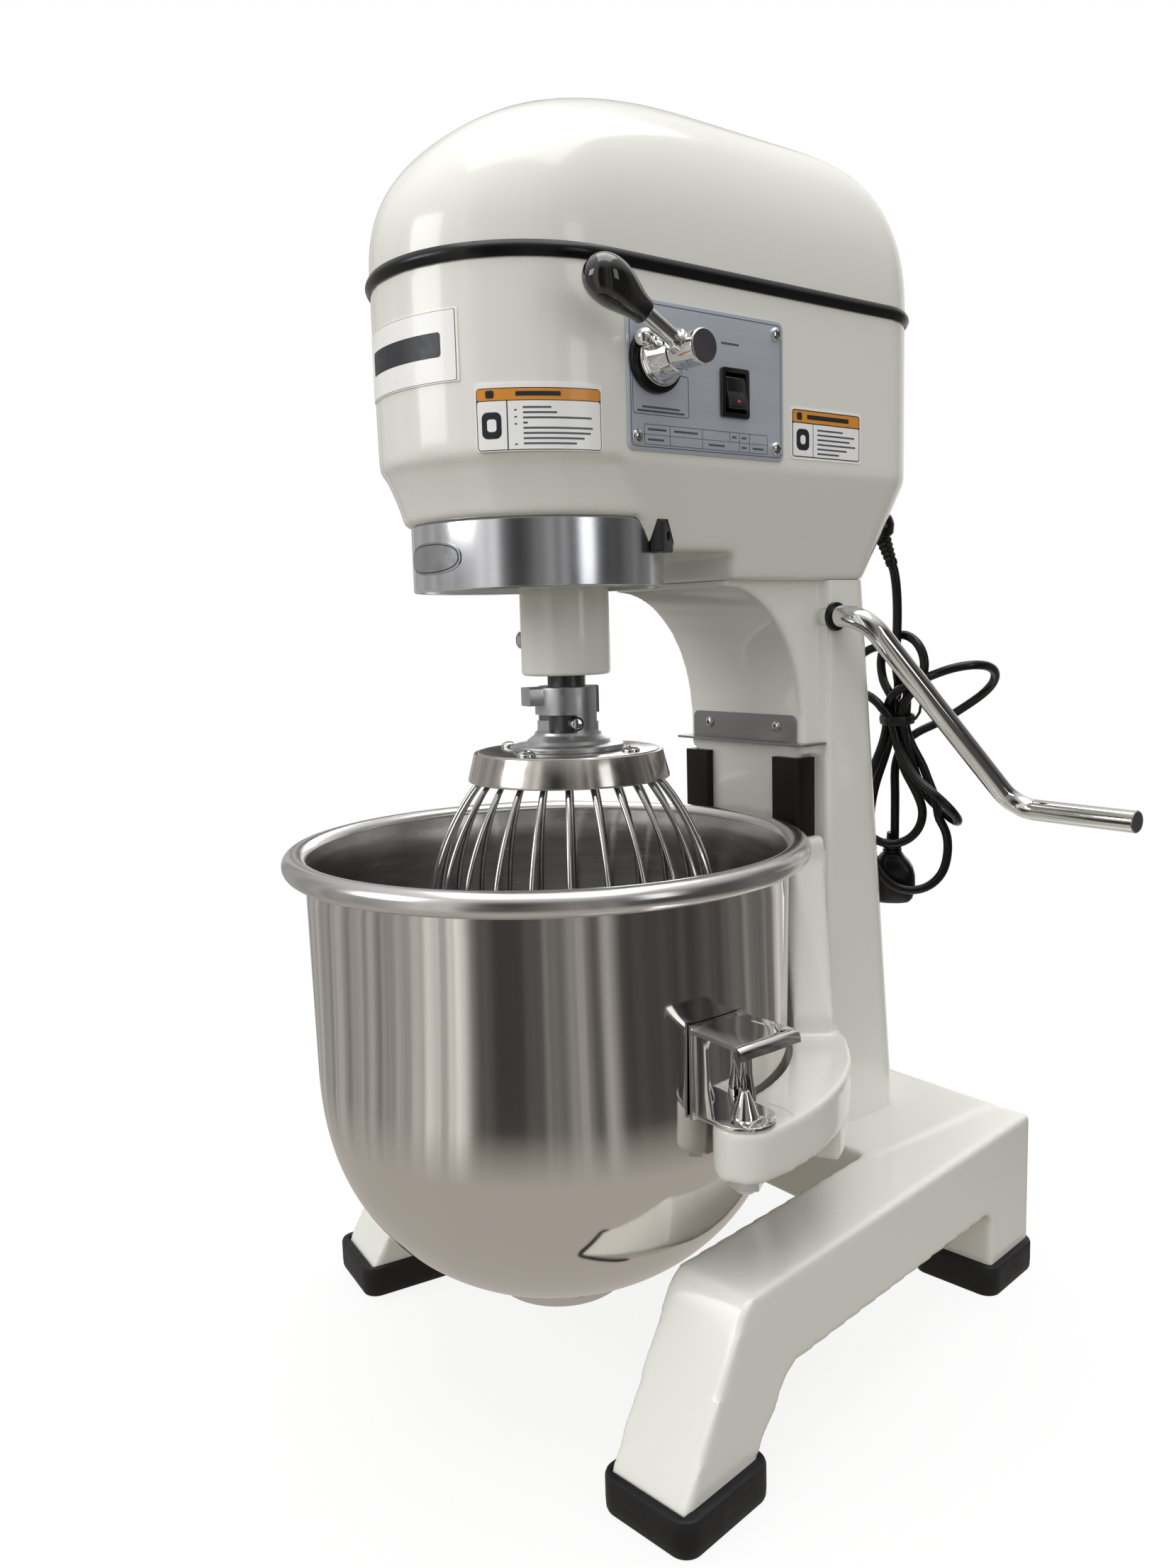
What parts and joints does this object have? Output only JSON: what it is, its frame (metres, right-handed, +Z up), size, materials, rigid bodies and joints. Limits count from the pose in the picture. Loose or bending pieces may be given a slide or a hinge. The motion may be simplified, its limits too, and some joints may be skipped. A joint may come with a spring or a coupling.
{
  "type": "planetary stand mixer",
  "caption": "Floor or bench planetary mixer: splayed base, column, domed head with gear train, orbiting balloon whisk, removable steel bowl on a crank-raised yoke.",
  "frame": {"origin": "on the floor, on the planetary and bowl axis, in the machine's plane of symmetry", "axes": "+Z up, -Y towards the front of the bowl, +X towards the control panel and crank"},
  "size_m": [0.4575, 0.5357, 0.855],
  "materials": {
    "white_paint": "gloss stoved enamel",
    "black_rubber": "matte",
    "cord_pvc": "satin",
    "slide_plastic": "matte",
    "switch_plastic": "satin",
    "knob_plastic": "high gloss",
    "dark_steel": "machined, oiled",
    "gear_steel": "machined",
    "motor_paint": "satin",
    "shelf_metal": "satin",
    "panel_metal": "fine brushed",
    "chrome": "polished",
    "label_film": "satin film",
    "badge_metal": "satin",
    "polished_aluminium": "turned and polished",
    "cast_aluminium": "cast, ground",
    "wire_steel": "polished wire",
    "bowl_steel": "polished outside, brushed inside"
  },
  "bodies": {
    "frame": {"base_casting": "white_paint", "foot_front_right": "black_rubber", "foot_front_left": "black_rubber", "foot_rear_right": "black_rubber", "foot_rear_left": "black_rubber", "column_bolts": "dark_steel", "column_casting": "white_paint", "rear_cover": "white_paint", "splash_shelf": "shelf_metal", "slide_strips": "slide_plastic", "head_casting": "white_paint", "seam_gasket": "black_rubber", "top_cover": "white_paint", "control_panel": "panel_metal", "dome_screws": "chrome", "labels": "label_film", "switch_housing": "switch_plastic", "lever_flange": "black_rubber", "gearbox_lid": "cast_aluminium", "motor_stator": "motor_paint", "shaft_bearings": "gear_steel", "ring_band": "polished_aluminium", "ring_gear": "dark_steel", "ring_badge": "badge_metal", "ring_block": "slide_plastic", "crank_collar": "black_rubber", "cord_gland": "black_rubber", "power_cord": "cord_pvc", "cord_hank": "cord_pvc", "cord_tie": "cord_pvc", "power_plug": "cord_pvc"},
    "rocker": {"switch_rocker": "switch_plastic"},
    "gear_lever": {"lever_hub": "chrome", "lever_rod": "chrome", "lever_knob": "knob_plastic"},
    "motor_rotor": {"motor_shaft": "dark_steel", "cooling_fan": "slide_plastic"},
    "lay_shaft": {"lay_shaft": "dark_steel", "lay_gears": "gear_steel"},
    "planetary": {"main_shaft": "dark_steel", "main_gear": "gear_steel", "planet_carrier": "white_paint", "agitator_bearings": "gear_steel", "grease_plug": "chrome"},
    "agitator": {"agitator_shaft": "dark_steel", "planet_gear": "gear_steel", "drive_pin": "chrome", "whisk_hub": "cast_aluminium", "whisk_cap": "polished_aluminium", "whisk_screws": "chrome", "whisk_wires": "wire_steel"},
    "lift": {"yoke_casting": "white_paint", "bowl_pins": "chrome", "lift_rack": "dark_steel"},
    "crank": {"crank_bar": "chrome", "crank_pinion": "gear_steel"},
    "bowl": {"bowl_shell": "bowl_steel", "bowl_foot": "bowl_steel", "bowl_brackets": "chrome"}
  },
  "joints": [
    {"name": "planetary_spin", "type": "hinge", "parent": "frame", "child": "planetary", "pos_m": [0, 0, 0.56], "axis": [0, 0, 1], "continuous": true},
    {"name": "agitator_spin", "type": "hinge", "parent": "planetary", "child": "agitator", "pos_m": [-0.02846, 0.04111, 0.5], "axis": [0, 0, 1], "continuous": true},
    {"name": "lay_spin", "type": "hinge", "parent": "frame", "child": "lay_shaft", "pos_m": [0, 0.088, 0.64], "axis": [0, 0, 1], "continuous": true},
    {"name": "motor_spin", "type": "hinge", "parent": "frame", "child": "motor_rotor", "pos_m": [0, 0.146, 0.74], "axis": [0, 0, 1], "continuous": true},
    {"name": "bowl_lift", "type": "slide", "parent": "frame", "child": "lift", "axis": [0, 0, 1], "range_m": [0, 0.066]},
    {"name": "crank_turn", "type": "hinge", "parent": "frame", "child": "crank", "pos_m": [0.08, 0.212, 0.5186], "axis": [1, 0, 0], "range_deg": [0, 157.61]},
    {"name": "bowl_lift_off", "type": "slide", "parent": "lift", "child": "bowl", "axis": [0, 0, 1], "range_m": [0, 0.015]},
    {"name": "gear_shift", "type": "hinge", "parent": "frame", "child": "gear_lever", "pos_m": [0.105, 0.0223, 0.6747], "axis": [1, 0, 0], "range_deg": [-30, 30]},
    {"name": "power_rocker", "type": "hinge", "parent": "frame", "child": "rocker", "pos_m": [0.092, 0.0887, 0.661], "axis": [0, 1, 0], "range_deg": [0, 10]}
  ],
  "couplings": [
    {"joint": "agitator_spin", "follows": "planetary_spin", "ratio": -3.7778},
    {"joint": "lay_spin", "follows": "planetary_spin", "ratio": -3},
    {"joint": "motor_spin", "follows": "planetary_spin", "ratio": 7.875},
    {"joint": "crank_turn", "follows": "bowl_lift", "rad_per_m": 41.667}
  ]
}
